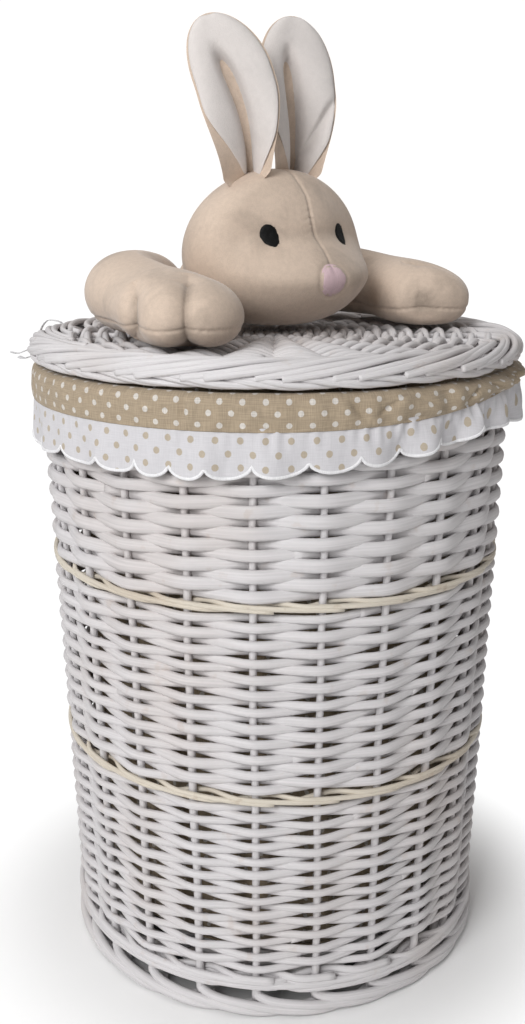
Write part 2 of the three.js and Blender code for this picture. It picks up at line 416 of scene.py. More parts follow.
def painted(tree, given):
    """Painted willow: grain and fine cracks run along the rod, and thin paint lets the wood show in patches."""
    grain = noise(tree, stretched(tree, coordinates(tree, "UV"), 14, 900), 1.0, 4.0)
    at = coordinates(tree, "Object")
    broad, blots = noise(tree, at, 9.0, 3.0), noise(tree, at, 70.0, 4.0)
    patch = sums(tree, "MULTIPLY", ramp(tree, broad, 0.42, 0.72), given["Thin Paint"])
    fleck = sums(tree, "MULTIPLY", ramp(tree, blots, 0.62, 0.72), given["Thin Paint"])
    thin = sums(tree, "ADD", patch, fleck, clamp=True)
    shaded = blend_colours(tree, thin, given["Paint"], given["Wood"])
    return (darkened(tree, shaded, ramp(tree, grain, 0.25, 0.75), 0.16),
            sums(tree, "MULTIPLY_ADD", grain, 0.2, 0.48), sums(tree, "MULTIPLY_ADD", blots, 0.35, grain))


def willow(name, paint, wood, thin, strength):
    group = effect_group("Painted willow", painted, Paint=rgba((0.7, 0.7, 0.7)), Wood=rgba((0.5, 0.4, 0.3)),
                         Thin_Paint=0.3)
    values = {"Paint": rgba(paint), "Wood": rgba(wood), "Thin Paint": thin}
    return finish(name, group, values, strength=strength)


def willow_white():
    return willow("willow white", bpy.context.scene.basket_colours.paint, (0.56, 0.45, 0.38), 0.22, 0.25)


def willow_cream():
    return willow("willow cream", bpy.context.scene.basket_colours.cream, (0.50, 0.40, 0.30), 0.45, 0.3)


def dotted(tree, given):
    """Printed plain-weave cotton: round dots on two interleaved square grids, threads and slubs along UV."""
    uv = coordinates(tree, "UV")
    waver = noise(tree, uv, 900.0, 1.0, output="Color")
    place = vectors(tree, "ADD", uv, vectors(tree, "SCALE", waver, 0.0005))
    scaled = vectors(tree, "SCALE", place, sums(tree, "DIVIDE", 1.0, given["Pitch"]))
    near = []
    for offset in (0.0, 0.5):
        cell = vectors(tree, "FRACTION", vectors(tree, "ADD", scaled, (offset, offset, 0)))
        centred = vectors(tree, "SUBTRACT", cell, (0.5, 0.5, 0))
        near.append(distance_of(tree, vectors(tree, "MULTIPLY", centred, (1, 1, 0))))
    distance = sums(tree, "MULTIPLY", sums(tree, "MINIMUM", *near), given["Pitch"])
    inside = sums(tree, "MULTIPLY", sums(tree, "SUBTRACT", given["Dot Radius"], distance), 3500.0)
    dot = sums(tree, "ADD", inside, 0.5, clamp=True)
    printed = blend_colours(tree, dot, given["Cloth"], given["Dots"])
    slub = noise(tree, stretched(tree, uv, 70, 1500), 1.0, 3.0)
    thread = noise(tree, stretched(tree, uv, 1700, 90), 1.0, 2.0)
    crossed = sums(tree, "MULTIPLY", sums(tree, "ADD", slub, thread), 0.5)
    worn = sums(tree, "SUBTRACT", ramp(tree, crossed, 0.3, 0.7), 1.0)
    tone = sums(tree, "MULTIPLY_ADD", worn, given["Slub"], 1.0)
    return darkened(tree, printed, tone), sums(tree, "MULTIPLY_ADD", crossed, 0.2, 0.75), crossed


def cotton(name, cloth, dots, pitch, dot_radius, slub, strength):
    group = effect_group("Dotted cotton", dotted, Cloth=rgba((0.8, 0.8, 0.8)), Dots=rgba((0.4, 0.3, 0.2)),
                         Pitch=0.016, Dot_Radius=0.002, Slub=0.2)
    values = {"Cloth": rgba(cloth), "Dots": rgba(dots), "Pitch": pitch, "Dot Radius": dot_radius, "Slub": slub}
    return finish(name, group, values, {"Sheen Weight": 0.15, "Specular IOR Level": 0.2}, strength, 0.0003)


def cotton_beige():
    return cotton("cotton beige dotted", bpy.context.scene.basket_colours.beige, (0.74, 0.70, 0.65),
                  16 * MM, 2.1 * MM, 0.35, 0.35)


def cotton_white():
    return cotton("cotton white dotted", bpy.context.scene.basket_colours.white, (0.50, 0.43, 0.34),
                  19 * MM, 2.5 * MM, 0.12, 0.3)


def pile(tree, given):
    """Short velvet pile: tips, brushed patches of a darker lay, and painted shade in seams and folds, read from
    the seam attribute.
    """
    at = coordinates(tree, "Object")
    tips, tufts = noise(tree, at, 1100.0, 3.0), noise(tree, at, 260.0, 3.0)
    brushed = noise(tree, at, 22.0, 4.0, Distortion=0.8)
    patches = sums(tree, "MULTIPLY", ramp(tree, brushed, 0.48, 0.66), given["Lay"])
    mean = sums(tree, "MULTIPLY", sums(tree, "ADD", tips, tufts), 0.5)
    fine = sums(tree, "MULTIPLY", ramp(tree, mean, 0.62, 0.38), given["Fleck"])
    # painted shade: the seam attribute darkens the pile by up to 0.28 where a seam or fold lies
    seam = node(tree, "Attribute", attribute_name="seam").outputs["Fac"]
    dark = sums(tree, "ADD", sums(tree, "ADD", patches, fine), sums(tree, "MULTIPLY", seam, 0.28))
    tone = sums(tree, "MAXIMUM", sums(tree, "SUBTRACT", 1.05, dark), 0.25)
    height = sums(tree, "MULTIPLY_ADD", tufts, 0.8, sums(tree, "MULTIPLY_ADD", brushed, 1.2, tips))
    return darkened(tree, given["Pile"], tone), sums(tree, "MULTIPLY_ADD", tips, 0.1, 0.85), height


def plush(name, colour, lay, fleck):
    group = effect_group("Short plush", pile, Pile=rgba((0.6, 0.5, 0.4)), Lay=0.25, Fleck=0.1)
    return finish(name, group, {"Pile": rgba(colour), "Lay": lay, "Fleck": fleck},
                  {"Sheen Weight": 0.35, "Sheen Roughness": 0.4, "Specular IOR Level": 0.2}, 0.4)


def plush_beige():
    return plush("plush beige", bpy.context.scene.basket_colours.plush, 0.14, 0.09)


def plush_cream():
    return plush("plush cream", bpy.context.scene.basket_colours.lining, 0.05, 0.04)


def floss(tree, given):
    """Embroidery floss: fine ridges side by side along U, each with a slightly different tone, and painted shade
    in the grooves between them.
    """
    place = node(tree, "SeparateXYZ", {"Vector": coordinates(tree, "UV")}).outputs["X"]
    number = sums(tree, "MULTIPLY", place, given["Per Metre"])
    ridge = sums(tree, "PINGPONG", number, 0.5)
    stitch = {"W": sums(tree, "FLOOR", number)}
    each = node(tree, "TexWhiteNoise", stitch, noise_dimensions="1D").outputs["Value"]
    # tone: painted shade, darker in the grooves between ridges, plus a random tone for each stitch
    tone = sums(tree, "ADD", sums(tree, "MULTIPLY_ADD", ridge, 0.35, 0.78), sums(tree, "MULTIPLY", each, 0.08))
    return (darkened(tree, given["Floss"], tone), sums(tree, "MULTIPLY_ADD", each, 0.15, 0.38),
            sums(tree, "MULTIPLY_ADD", each, 0.2, ridge))


def satin(name, colour, per_metre=1400.0, shine=0.35):
    group = effect_group("Satin stitch", floss, Floss=rgba((0.8, 0.8, 0.8)), Per_Metre=1400.0)
    return finish(name, group, {"Floss": rgba(colour), "Per Metre": per_metre},
                  {"Sheen Weight": 0.3 * shine, "Specular IOR Level": shine}, 0.5, 0.0004)


# ---------------------------------------------------------------- the woven wall


def weave_course(piece_name, cad_node, rows, seed, plump):
    """One course of randing: rods laid end to end along one helix, over and under an odd number of stakes.

    At stake count s the row lies between low + pitch s / STAKES and one pitch above, cut off at the course's
    edges, so that the first and last turns are tapered tips. Its radius is the stakes' radius plus
    depth (cos(pi s) + cos(3 pi s) / 9), whose third harmonic straightens the run between stakes. plump is half
    a rod's height over the height that it has.
    """
    sizes = bpy.context.scene.basket_sizes
    low, high = span(cad_node)
    pitch = (high - low) / rows
    depth = sizes.stake_radius + 0.4 * sizes.rod_radius
    reach, overlap, steps = 28, 0.42, 8
    first, last = 4 - STAKES, rows * STAKES - 4
    starts = np.arange(first, last, reach)[:, None]
    begin = np.maximum(starts - overlap, first)
    end = np.minimum(starts + reach + overlap, last)
    s = begin + (end - begin) * np.linspace(0, 1, reach * steps)
    rng = np.random.default_rng(seed)
    angle = stake_angle(s)
    under = np.clip(low + pitch * s / STAKES, low, high)
    over = np.clip(low + pitch * (s / STAKES + 1), low, high)
    z = (under + over) / 2
    inside = np.sin(math.pi * (z - low) / (high - low))
    sway = 1.6 * MM * np.sin(2 * angle + 9 * z) + 1.0 * MM * np.sin(5 * angle - 14 * z)
    z = z + sway * inside + wander(s, rng, 1.1 * MM, 2.4, (len(starts),))
    swing = np.cos(math.pi * s) + np.cos(3 * math.pi * s) / 9
    path = polar(stake_radius(z) + depth * swing, angle, z)
    taper = np.linspace(1.09, 0.91, s.shape[1]) * rng.uniform(0.92, 1.08, (len(starts), 1))
    share = (over - under) / pitch
    radii = sizes.rod_radius * taper * (0.6 + 0.4 * share)
    piece = swept(piece_name, path, radii, radial(path), willow_white(),
                  squeeze=plump * pitch * share * taper / radii)
    return stand_in(piece, cad_node, "basket")


class WeaveWall(bpy.types.Operator):
    """Weave the three courses of the wall round the stakes."""

    bl_idname = "basket.weave_wall"
    bl_label = "Weave Wall"

    def execute(self, context):
        sizes = context.scene.basket_sizes
        weave_course("weavers_lower", "woven_wall_lower", sizes.lower_rows, 11, 0.53)
        weave_course("weavers_middle", "woven_wall_middle", sizes.middle_rows, 12, 0.57)
        weave_course("weavers_upper", "woven_wall_upper", sizes.upper_rows, 13, 0.64)
        return {"FINISHED"}


# ---------------------------------------------------------------- wales, borders and discs


def smooth_run(knots, count):
    """Points along a smooth curve through knots: cubic Hermite pieces with Catmull-Rom slopes."""
    knots = np.asarray(knots, dtype=float)
    slopes = np.gradient(knots, axis=0)
    t = np.linspace(0, len(knots) - 1, count)
    k = np.minimum(t.astype(int), len(knots) - 2)
    f = (t - k)[:, None]
    a, b, da, db = knots[k], knots[k + 1], slopes[k], slopes[k + 1]
    held = 3 * f**2 - 2 * f**3
    return (1 - held) * a + (f**3 - 2 * f**2 + f) * da + held * b + (f**3 - f**2) * db


def wale(piece_name, cad_node, rounds, rod, material, seed):
    """A wale of three rods, each in front of two stakes and behind the third.

    Within its cycle of three stakes a rod dips behind at the first, comes out above the other two rods and
    slopes down below them before it goes behind again.
    """
    sizes = bpy.context.scene.basket_sizes
    low, high = span(cad_node)
    strand = np.arange(3)[:, None]
    s = strand + np.linspace(-0.3, rounds * STAKES + 0.3, rounds * STAKES * 8)
    cycle = np.mod(s - strand, 3)
    away = np.minimum(cycle, 3 - cycle)
    front = 2 * np.clip((away - 0.08) / 0.72, 0, 1)
    front = front * front * (3 - front) / 2 - 1
    rise = np.interp(cycle / 3, [0, 0.1, 0.9, 1], [0, 1, -1, 0])
    rng = np.random.default_rng(seed)
    round_height = (high - low) / rounds
    z = low + round_height * (0.5 + (rounds - 1) * s / max(s.max(), 1))
    z = z + (round_height / 2 - rod) * rise + wander(s, rng, 0.35 * MM, 2.0, (3,))
    reach = sizes.stake_radius + rod
    path = polar(stake_radius(z) + reach * front, stake_angle(s), z)
    radii = rod * (1 + wander(s, rng, 0.08, 9.0, (3,)))
    piece = swept(piece_name, path, radii, radial(path), material)
    return stand_in(piece, cad_node, "basket")


class WorkWales(bpy.types.Operator):
    """Work the cream bands, the upset under the wall and the wale that locks the rim."""

    bl_idname = "basket.work_wales"
    bl_label = "Work Wales"

    def execute(self, context):
        wale("wale_rods_lower", "wale_band_lower", 1, 2.0 * MM, willow_cream(), 21)
        wale("wale_rods_upper", "wale_band_upper", 1, 2.0 * MM, willow_cream(), 22)
        wale("upset_rods", "upset_wale", 2, 2.9 * MM, willow_white(), 23)
        wale("rim_rods", "rim_border", 1, 3.0 * MM, willow_white(), 24)
        return {"FINISHED"}


class LayFootBorder(bpy.types.Operator):
    """Turn each stake's butt down and round the foot.

    Each rod drops from its stake, bends round outside the next stake and tucks in behind the one after, so
    that a three-cornered gap stays under the upset beside every stake.
    """

    bl_idname = "basket.lay_foot_border"
    bl_label = "Lay Foot Border"

    def execute(self, context):
        top = span("foot_border")[1] / MM
        rod = 3.9 * MM
        # stakes along, millimetres outwards from the stakes, height in millimetres
        knots = [(0.0, 0.0, top + 6), (0.0, 0.2, top - 1), (0.05, 1.6, top - 4.5),
                 (0.3, 4.6, top - 7.0), (0.8, 6.4, top - 9.0), (1.4, 6.8, 7.0),
                 (2.0, 6.2, 4.4), (2.5, 2.5, 4.0), (2.9, -3.0, 4.2),
                 (3.2, -7.5, 5.0)]
        run = smooth_run(np.array(knots) * (1, MM, MM), 84)
        number = np.arange(STAKES)[:, None]
        rng = np.random.default_rng(31)
        z = run[:, 2] + 0 * number
        out = run[:, 1] + wander(run[:, 0], rng, 0.6 * MM, 0.5, (STAKES,))
        path = polar(stake_radius(0.0) + out, stake_angle(number + run[:, 0]), z)
        radii = rod * np.linspace(1.0, 0.92, len(run)) * rng.uniform(0.92, 1.05, (STAKES, 1))
        lean = unit(radial(path) + 0.3 * UP)
        piece = swept("foot_rods", path, radii, lean, willow_white(), sides=12)
        stand_in(piece, "foot_border", "basket")
        return {"FINISHED"}


def woven_disc(piece_name, cad_node, body, rows, ribs, first_rib, rod, lift, seed):
    """Rings of weave over and under radial ribs.

    Ring j has height z + lift (-1)^j cos(ribs (a - first_rib) / 2), and is a rod whose ends lap under a rib.
    """
    low, high = span(cad_node)
    outer = radius_of(cad_node) - rod
    inner = 8 * MM
    number = np.arange(rows)[:, None]
    rng = np.random.default_rng(seed)
    turn = np.linspace(-0.35, ribs + 0.35, ribs * 9) / ribs * TAU
    start = rng.integers(0, ribs // 2, (rows, 1)) * 2 * TAU / ribs
    angle = first_rib + start + turn + number * TAU / ribs
    swing = np.cos(ribs * (angle - first_rib) / 2)
    sign = np.where(number % 2 == 0, 1.0, -1.0)
    spread = (inner + (outer - inner) * number / (rows - 1)) + wander(turn, rng, 0.9 * MM, 0.6, (rows,))
    z = (low + high) / 2 + lift * sign * swing + wander(turn, rng, 0.4 * MM, 0.4, (rows,))
    path = polar(spread, angle, z)
    radii = rod * rng.uniform(0.92, 1.06, (rows, 1)) * np.ones_like(turn)
    piece = swept(piece_name, path, radii, np.broadcast_to(UP, path.shape), willow_white(), sides=8)
    return stand_in(piece, cad_node, body)


def spokes(piece_name, cad_node, body, ribs, first_rib, rod, reach):
    """Radial sticks from near the centre to reach, each tapering a little outwards."""
    low, high = span(cad_node)
    angle = first_rib + np.arange(ribs)[:, None] * TAU / ribs
    out = np.linspace(4 * MM, reach, 24)
    path = polar(out, angle, (low + high) / 2 + 0 * angle)
    radii = rod * np.linspace(1.05, 0.9, len(out)) * np.ones_like(angle)
    piece = swept(piece_name, path, radii, np.broadcast_to(UP, path.shape), willow_white(), sides=8)
    return stand_in(piece, cad_node, body)


class WeaveBase(bpy.types.Operator):
    """Weave the raised floor of the basket over its crossing sticks."""

    bl_idname = "basket.weave_base"
    bl_label = "Weave Base"

    def execute(self, context):
        reach = radius_of("base_weave") - 2 * MM
        woven_disc("base_rods", "base_weave", "basket", 26, 16, FIRST_STAKE, 2.7 * MM, 3.9 * MM, 41)
        spokes("base_spokes", "base_sticks", "basket", 16, FIRST_STAKE, 3.0 * MM, reach)
        return {"FINISHED"}


LID_RIBS = 24
FIRST_LID_RIB = math.radians(-139.3)


class WeaveLid(bpy.types.Operator):
    """Weave the lid over its spokes and roll its border.

    Upper border rods leave the spokes in pairs on top, run back and outwards over the rim and end cut off at
    its side; lower ones run the other way under them and tuck in underneath.
    """

    bl_idname = "basket.weave_lid"
    bl_label = "Weave Lid"

    def execute(self, context):
        reach = radius_of("lid_weave") + 4 * MM
        woven_disc("lid_rods", "lid_weave", "lid", 25, LID_RIBS, FIRST_LID_RIB, 3.0 * MM, 4.7 * MM, 51)
        spokes("lid_spokes", "lid_sticks", "lid", LID_RIBS, FIRST_LID_RIB, 2.7 * MM, reach)
        low, high, edge, inner = np.array(
            [*span("lid_border"), radius_of("lid_border"), radius_of("lid_weave")]) / MM
        rng = np.random.default_rng(52)
        rods = 2 * LID_RIBS
        number = (np.arange(rods) // 2 + 0.34 * (np.arange(rods) % 2))[:, None]
        rod = 2.75
        # spokes along, radius and height in millimetres
        over = [(0.25, inner - 12, high - 6), (0.0, inner - 3, high - 5.2), (-0.35, inner + 5, high - 3.8),
                (-0.95, edge - 12, high - rod), (-1.6, edge - 5.6, high - 5.5), (-2.15, edge - 3.0, high - 9.5),
                (-2.7, edge - 2.9, high - 13.5)]
        under = [(0.1, inner - 2, low + 8), (0.4, edge - 12, low + 8.5), (0.9, edge - 5.5, low + 8),
                 (1.4, edge - 4.5, low + 4.4), (1.9, edge - 8, low + rod), (2.5, edge - 15, low + 4.6)]
        for name, node_name, knots, steps, plump in (("lid_border_over", "lid_border", over, 84, 1.0),
                                                     ("lid_border_under", None, under, 72, 0.94)):
            run = smooth_run(np.array(knots) * (1, MM, MM), steps)
            wobble = wander(run[:, 0], rng, 0.9 * MM, 0.6, (2, rods))
            wobble = wobble + rng.uniform(-1, 1, (2, rods, 1)) * 0.7 * MM
            path = polar(run[:, 1] + wobble[0], FIRST_LID_RIB + (number + run[:, 0]) * TAU / LID_RIBS,
                         run[:, 2] + wobble[1] * 0.6)
            radii = rod * MM * plump * np.linspace(0.94, 1.04, len(run)) * rng.uniform(0.88, 1.1, (rods, 1))
            piece = swept(name, path, radii, unit(radial(path) + 0.8 * UP), willow_white(), sides=10)
            stand_in(piece, node_name, "lid")
        return {"FINISHED"}


# ---------------------------------------------------------------- liner, ruffle and ties

FLAT_GIRTH = 0.2037  # metres of flat cuff for each radian
LIFTED_SIDE = math.radians(-55)
RUFFLE_LIFT = math.radians(-75)


def hem_height(angle):
    """Height of the cuff's hem: level, but pulled up on the lifted side."""
    low = span("liner_cuff")[0]
    return low + 1 * MM + 17 * MM * bump(around_from(angle, LIFTED_SIDE), 0, math.radians(38))


def cloth_waves(angle, rng, amplitude, scale, terms=6):
    """Seamless folds round Z: a sum of whole-number waves, whose mean pitch is TAU / scale."""
    counts = np.round(scale * rng.uniform(0.6, 1.5, terms))[:, None]
    phase = rng.uniform(0, TAU, (terms, 1))
    return amplitude * np.sin(counts * angle + phase).sum(axis=0) / math.sqrt(terms)


class SewLiner(bpy.types.Operator):
    """Sew the dotted liner: a bag that hangs in the basket and a cuff turned over the rim."""

    bl_idname = "basket.sew_liner"
    bl_label = "Sew Liner"

    def execute(self, context):
        rng = np.random.default_rng(61)
        angle = np.linspace(0, TAU, 640, endpoint=False)
        turned = np.append(angle, TAU)
        pulled = bump(around_from(angle, LIFTED_SIDE), 0, math.radians(60))
        hem = hem_height(angle)
        outer = radius_of("liner_cuff")
        # radius less the cuff's, height above the hem as a share of the drop, height under the fold
        profile = smooth_run([(-0.6, 0.0, 0), (-0.2, 0.18, 0), (0.3, 0.5, 0), (0.0, 0.82, 0), (-1.6, 1.0, 0),
                              (-6.5, 1.0, 2.6), (-13, 1.0, 2.0), (-18, 1.0, 0.6), (-21.2, 1.0, -4),
                              (-22.6, 1.0, -13)], 46)
        fold = 503.5 * MM
        share = profile[:, 1, None]
        z = hem + (fold - hem) * share + profile[:, 2, None] * MM
        puckers = cloth_waves(angle, rng, 0.6, 46) * (0.5 + 2.2 * pulled)
        slants = np.sin(17 * angle[None] + 260 * z) * np.sin(5 * angle + 1.0) * (0.45 + 2.3 * pulled)
        bulge = 4.2 * pulled * bump(share, 0.45, 0.4)
        flat = step(share, 0.0, 0.1) * (1 - step(share, 0.9, 1.0) * 0.6)
        from_seam = around_from(angle, math.radians(-149.5))
        seam = 1.0 * bump(from_seam, 0.035, 0.016) - 3.4 * bump(from_seam, 0, 0.012)
        # azimuth in degrees, lean, and depth in millimetres of the deeper creases
        deep = ((-114, 0.10, 4.0), (-109, -0.16, 2.6), (-97, 0.2, 2.2), (-86, -0.12, 3.2), (-75, 0.14, 3.0),
                (-66, -0.1, 2.6), (158, 0.1, 3.2), (169, -0.14, 2.2))
        creases = sum(depth * bump(around_from(angle, math.radians(at)) + lean * (share - 0.5), 0, 0.017)
                      for at, lean, depth in deep)
        wrinkles = (puckers + slants) * flat + bulge + (seam - creases) * bump(share, 0.62, 0.3) * flat
        out = profile[:, 0, None] + wrinkles
        cuff = polar(outer + out * MM, angle, z)
        uv = uv_grid(turned * FLAT_GIRTH, run_length(cuff[:, 0])[:, None] + 3 * MM)
        cuff_piece = shell("liner_cuff_cotton", cuff, 1.3 * MM, uv, cotton_beige(), wrap=True)
        stand_in(cuff_piece, "liner_cuff", "basket")

        # height, radius and depth of the folds in millimetres, from the floor up to the rim
        drop = [(40, 141, 0.5), (52, 146, 2), (80, 149, 4), (140, 151, 5.5), (230, 153, 6), (320, 156, 5.5),
                (400, 161, 4.5), (455, 169, 3), (485, 175, 1.5), (497, 177.2, 0.4)]
        side = smooth_run(drop, 66) * MM
        folds = cloth_waves(angle, rng, 1.0, 15) + 0.35 * cloth_waves(angle, rng, 1.0, 44)
        drift = np.sin(2 * angle + 6 * side[:, 0, None]) * side[:, 2, None] * 0.5
        bag = polar(side[:, 1, None] + folds * side[:, 2, None] + drift, angle, side[:, 0, None] + 0 * angle)
        uv = uv_grid(turned * FLAT_GIRTH, run_length(bag[:, 0])[:, None])
        bag_piece = shell("liner_bag_side", bag, 0.9 * MM, uv, cotton_beige(), wrap=True)
        stand_in(bag_piece, "liner_bag", "basket")

        u, v = np.meshgrid(np.linspace(-1, 1, 110), np.linspace(-1, 1, 110))
        x, y = 142.5 * MM * u * np.sqrt(1 - v * v / 2), 142.5 * MM * v * np.sqrt(1 - u * u / 2)
        ripple = np.sin(41 * x + 6) * np.sin(37 * y + 2) + 0.5 * np.sin(90 * x + 70 * y)
        floor = np.stack([x, y, 39.2 * MM + 0.8 * MM * ripple * (1 - np.hypot(x, y) / 0.1426)], axis=-1)
        floor_piece = shell("liner_bag_floor", floor, 0.9 * MM, np.stack([x, y], axis=-1) + 0.5, cotton_beige())
        stand_in(floor_piece, None, "basket")
        return {"FINISHED"}


SCALLOPS = 35


class SewRuffle(bpy.types.Operator):
    """Gather the scalloped ruffle under the cuff's hem, on its elastic, and edge it with satin stitch."""

    bl_idname = "basket.sew_ruffle"
    bl_label = "Sew Ruffle"

    def execute(self, context):
        rng = np.random.default_rng(71)
        angle = np.linspace(0, TAU, SCALLOPS * 28, endpoint=False)
        turned = np.append(angle, TAU)
        pulled = bump(around_from(angle, LIFTED_SIDE), 0, math.radians(62))
        low = span("ruffle")[0]
        top = hem_height(angle) + 3 * MM
        lift = 21 * MM * bump(around_from(angle, RUFFLE_LIFT), 0, math.radians(38))
        uneven = 0.25 * np.sin(3 * angle + 1) + 0.18 * np.sin(7 * angle)
        along = np.mod(SCALLOPS * angle / TAU + uneven, 1) * 2 - 1
        scallop = 9.5 * MM * (1 - np.sqrt(1 - np.abs(along) ** 2.2))
        bottom = low + 0.5 * MM + lift + scallop + cloth_waves(angle, rng, 0.6 * MM, 9)
        share = np.linspace(0, 1, 26)[:, None]
        z = bottom + (top - bottom) * share
        free = 1 - share
        folds = cloth_waves(angle, rng, 1.0, 21) * (0.7 + 1.4 * pulled)
        gathers = cloth_waves(angle, rng, 1.0, 96) * (0.3 + 0.9 * pulled)
        hang = folds * step(free, 0.0, 0.9) * 2.5 + gathers * bump(share, 0.86, 0.36) * 0.8 * step(free, 0, 0.1)
        flare = 1.2 * free + 2.4 * pulled * np.sin(math.pi * np.minimum(free, 0.75))
        reach = radius_of("liner_cuff") - 1.6 * MM
        ruffle = polar(reach + (np.maximum(hang, -1.2 - flare) + flare + 0.4) * MM, angle, z)
        drop = np.linspace(0, 0.037, 26)[:, None]
        uv_v = np.append(bottom - low, bottom[0] - low) * free + drop
        uv = uv_grid(turned * 0.218, uv_v)
        ruffle_piece = shell("ruffle_cotton", ruffle, 0.9 * MM, uv, cotton_white(), wrap=True)
        stand_in(ruffle_piece, "ruffle", "basket")
        edge = np.concatenate([ruffle[0], ruffle[0, :2]])[None]
        edge = edge - 0.45 * MM * radial(edge)
        edging = swept("ruffle_edging", edge, np.full(edge.shape[:2], 1.05 * MM), radial(edge),
                       satin("satin edging", (0.92, 0.92, 0.94)), sides=8, squeeze=1.25)
        stand_in(edging, None, "basket")
        elastic_low, elastic_high = span("cuff_elastic")
        turn = np.linspace(0, TAU, 720, endpoint=False)
        z = np.linspace(elastic_low + 0.3 * MM, elastic_high - 0.3 * MM, 9)[:, None] + 0 * turn
        ribs = 0.25 * MM * np.sin(TAU * np.linspace(0, 4, 9))[:, None]
        band = polar(radius_of("cuff_elastic") + ribs + 0 * turn, turn, z)
        uv = uv_grid(np.append(turn, TAU) * 0.2, z[:, :1])
        elastic = shell("cuff_elastic_band", band, 1.1 * MM, uv, satin("elastic", (0.72, 0.71, 0.70), 900.0),
                        wrap=True)
        stand_in(elastic, "cuff_elastic", "basket")
        return {"FINISHED"}


class TieRibbons(bpy.types.Operator):
    """Knot the ribbons that hinge the lid to the rim, each with a loop over the lid's border and two tails."""

    bl_idname = "basket.tie_ribbons"
    bl_label = "Tie Ribbons"

    def execute(self, context):
        ribbon = satin("ribbon", (0.86, 0.86, 0.88), 2600.0)
        lid_top = span("lid_border")[1]
        for side in ("right", "left"):
            low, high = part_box(f"tie_knot_{side}")
            x, y, z = (np.array(low) + np.array(high)) / 2
            angle, out = math.atan2(y, x), math.hypot(x, y)

            def strip(name, knots, wide):
                run = smooth_run(knots, 40)
                path = polar(run[:, 0] * MM + out, angle + run[:, 1] * MM / out, run[:, 2] * MM + z)[None]
                lean = np.broadcast_to(radial(path) * 0.8 + 0.6 * UP, path.shape)
                radii = np.full(path.shape[:2], 0.55 * MM)
                return swept(name, path, radii, unit(lean), ribbon, sides=12, squeeze=wide / 1.1)

            top = (lid_top - z) / MM
            loop = strip(f"tie_loop_{side}", [
                (1.5, 2.5, -1), (3.0, 2.5, 6), (1.5, 1.5, top - 7), (-4, 0.5, top + 0.6), (-11, 0, top + 1.2),
                (-18, 0, top - 1), (-22, 0, top - 7)], 5.0)
            knot = strip(f"tie_knot_ribbon_{side}", [
                (1, -4, 2), (5, -1, 3.5), (6, 3, 0.5), (3, 4.5, -2.5), (1, 0.5, -3.5), (2, -4, -2),
                (5.5, -2.5, 1), (5, 2, 3)], 4.2)
            tail_up = strip(f"tie_tail_upper_{side}", [
                (3, 0, 0), (8, 2, 1.5), (15, 4.5, 0), (22, 5, -2.5), (29, 6.5, -1.5)], 5.0)
            tail_low = strip(f"tie_tail_lower_{side}", [
                (3, 0, -1), (8, -2.5, -3), (14, -4, -6), (21, -3, -8), (27, -3.5, -7)], 5.0)
            stand_in(loop, None)
            stand_in(knot, f"tie_knot_{side}", "basket")
            stand_in(tail_up, f"tie_tails_{side}", "basket")
            stand_in(tail_low, None, "basket")
            place = polar(out, angle, z)
            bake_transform(loop)
        return {"FINISHED"}


# ---------------------------------------------------------------- the plush rabbit

HEAD_CENTRE = np.array([2.0, 1.0, 593.5]) * MM
HEAD_RADII = np.array([84.0, 78.0, 65.0]) * MM


def ball(level):
    """Vertices and triangles of a unit ball with even triangles."""
    made = bmesh.new()
    bmesh.ops.create_icosphere(made, subdivisions=level, radius=1)
    mesh = bpy.data.meshes.new("ball")
    made.to_mesh(mesh)
    made.free()
    points = unit(vertices_of(mesh))
    faces = np.empty(len(mesh.polygons) * 3, dtype=int)
    mesh.polygons.foreach_get("vertices", faces)
    bpy.data.meshes.remove(mesh)
    return points, faces.reshape(-1, 3)


def places(piece):
    return vertices_of(piece.data)


def move_to(piece, points):
    piece.data.vertices.foreach_set("co", points.reshape(-1))
    piece.data.update()


def finished_mesh(piece):
    """Give the piece the mesh that its modifiers make, and remove them."""
    context = bpy.context
    context.view_layer.update()
    made = bpy.data.meshes.new_from_object(piece.evaluated_get(context.evaluated_depsgraph_get()))
    piece.modifiers.clear()
    piece.data = made
    made.polygons.foreach_set("use_smooth", np.ones(len(made.polygons), dtype=bool))


def fill_with_stuffing(piece, pinned, cap):
    """Blow the cover up with cloth simulation, held at its pinned vertices; no point moves more than cap."""
    start = places(piece)
    held = piece.vertex_groups.new(name="seams")
    held.add(np.flatnonzero(pinned).tolist(), 1.0, "REPLACE")
    cloth = piece.modifiers.new("stuffing", "CLOTH")
    cloth.settings.use_pressure = True
    cloth.settings.uniform_pressure_force = 4.0
    cloth.settings.vertex_group_mass = held.name
    cloth.settings.effector_weights.gravity = 0.0
    cloth.settings.tension_stiffness = cloth.settings.compression_stiffness = 12.0
    cloth.settings.bending_stiffness = 0.4
    scene = bpy.context.scene
    for number in range(1, 21):
        scene.frame_set(number)
    finished_mesh(piece)
    moved = places(piece) - start
    length = np.linalg.norm(moved, axis=-1, keepdims=True)
    move_to(piece, start + moved * np.minimum(1, cap / np.maximum(length, 1e-9)))
    piece.vertex_groups.clear()
    scene.frame_set(1)


def smoother(piece, levels=2):
    """Subdivide the piece smoothly, in its mesh."""
    surface = piece.modifiers.new("smooth", "SUBSURF")
    surface.levels = surface.render_levels = levels
    finished_mesh(piece)


def mark_painted_crease_shade(piece, amount):
    """Write how deep in a seam or fold each vertex lies, from 0 to 1, for the plush material to paint as shade.
    """
    marks = piece.data.attributes.new("seam", "FLOAT", "POINT")
    marks.data.foreach_set("value", amount.astype(np.float32))


def sew_in(piece, depth):
    """Draw each vertex in along its normal by depth, and mark how deep it lies in the seam attribute, which the
    plush material paints as shade.
    """
    mesh = piece.data
    normals = np.empty(len(mesh.vertices) * 3)
    mesh.vertex_normals.foreach_get("vector", normals)
    move_to(piece, places(piece) - normals.reshape(-1, 3) * depth[:, None])
    mark_painted_crease_shade(piece, np.clip(depth / (2.4 * MM) - 0.2, 0, 1))


